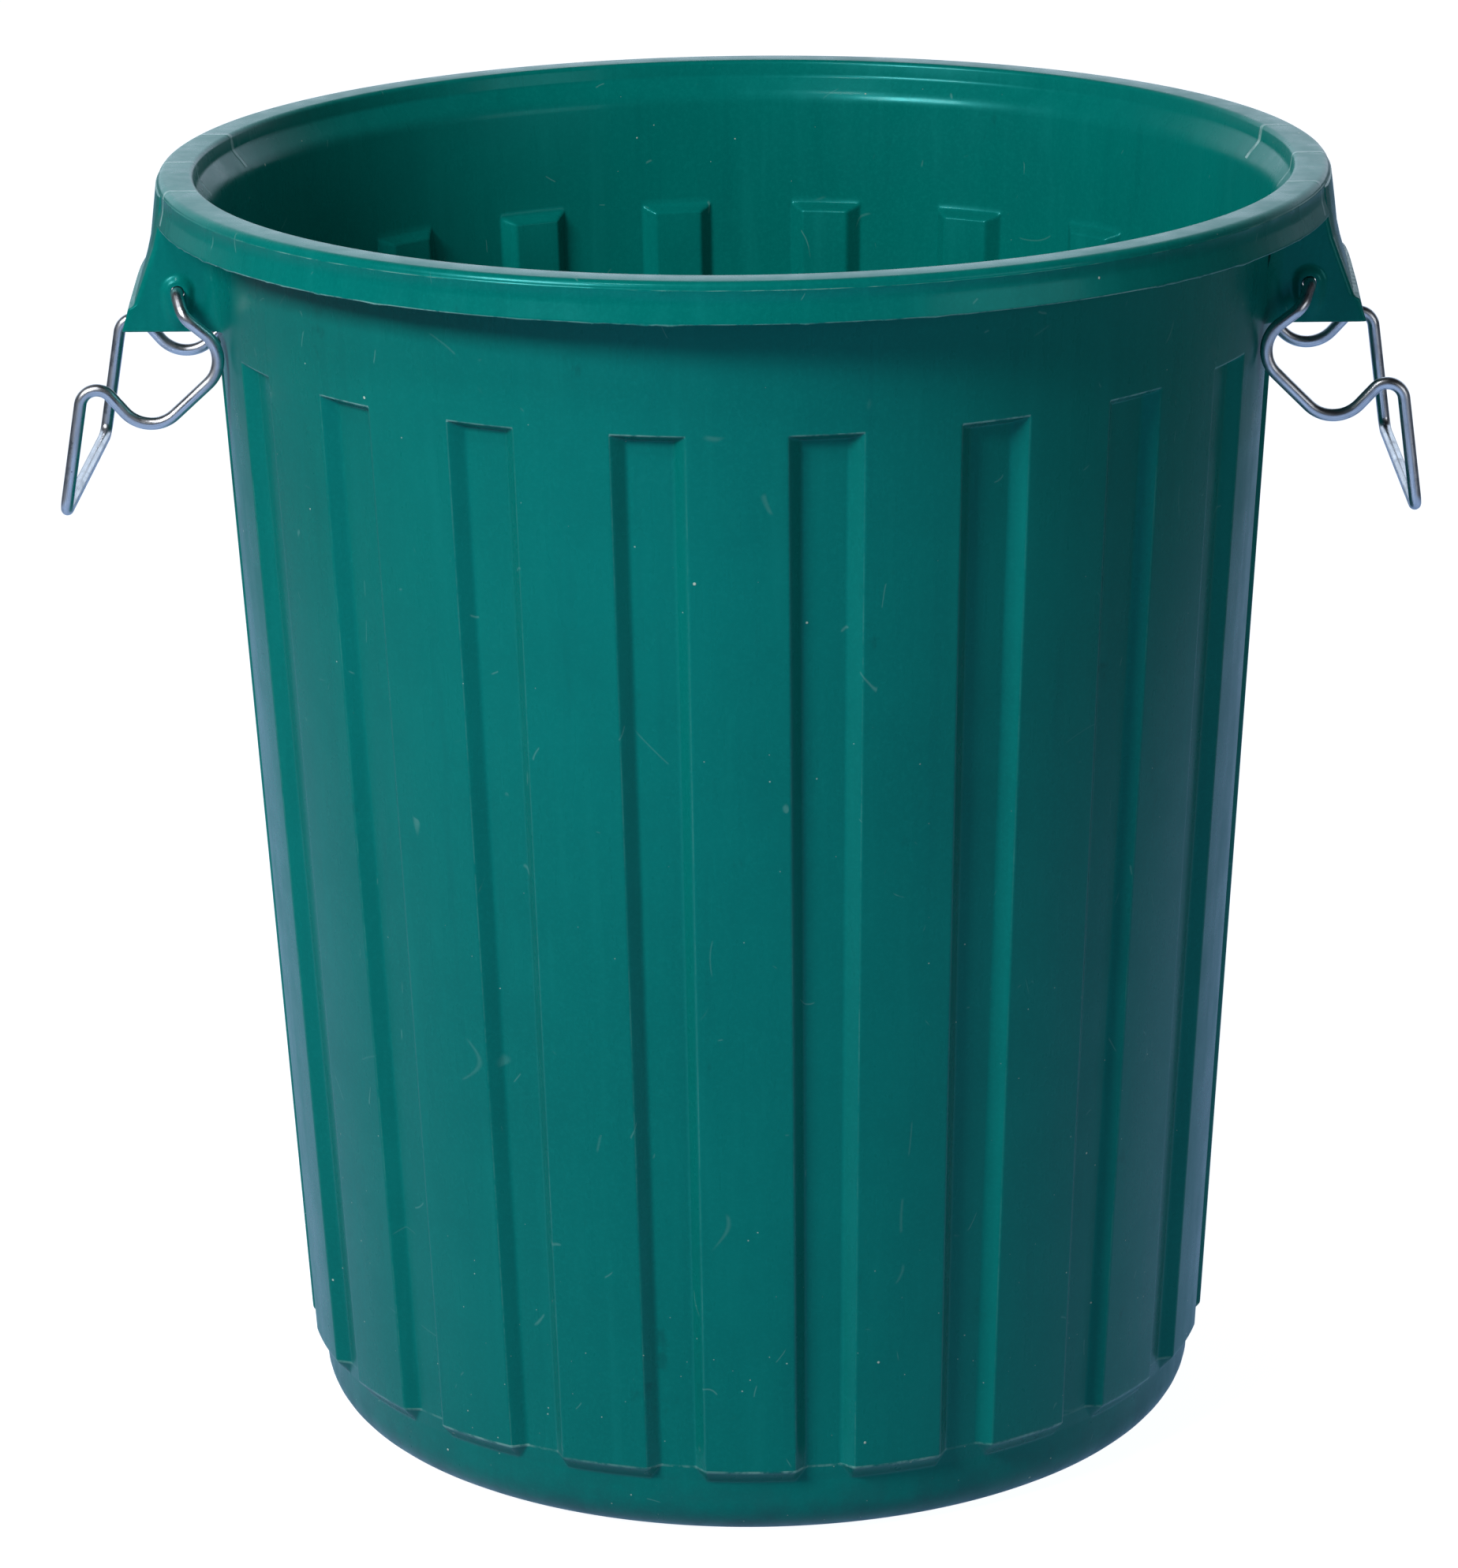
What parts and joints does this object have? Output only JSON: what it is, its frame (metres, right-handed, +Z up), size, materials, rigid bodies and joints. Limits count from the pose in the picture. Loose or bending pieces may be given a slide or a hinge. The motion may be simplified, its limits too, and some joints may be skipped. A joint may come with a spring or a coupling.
{
  "type": "litter bin",
  "caption": "Round, tapered, fluted plastic litter bin with a skirted rim and two wire handles that swing up to lock a lid.",
  "frame": {"origin": "centre of the base, on the ground; the bounding box's centre is 2.2 mm from it towards -X, because the left handle hangs further out", "axes": "+Z up; the two handles are at +X and -X, so X is the longest extent; the pictured front faces -Y"},
  "size_m": [0.5891, 0.515, 0.568],
  "materials": {
    "shell_plastic": "satin injection-moulded polyethylene, teal green, lightly scuffed",
    "handle_wire": "zinc-plated drawn steel wire with fine scratches"
  },
  "bodies": {
    "bin": {"bin_shell": "shell_plastic"},
    "left_handle": {"handle_left": "handle_wire"},
    "right_handle": {"handle_right": "handle_wire"}
  },
  "joints": [
    {"name": "left_handle_swing", "type": "hinge", "parent": "bin", "child": "left_handle", "pos_m": [-0.243, 0, 0.5227], "axis": [0, 1, 0], "range_deg": [0, 165]},
    {"name": "right_handle_swing", "type": "hinge", "parent": "bin", "child": "right_handle", "pos_m": [0.243, 0, 0.5227], "axis": [0, -1, 0], "range_deg": [0, 165]}
  ]
}
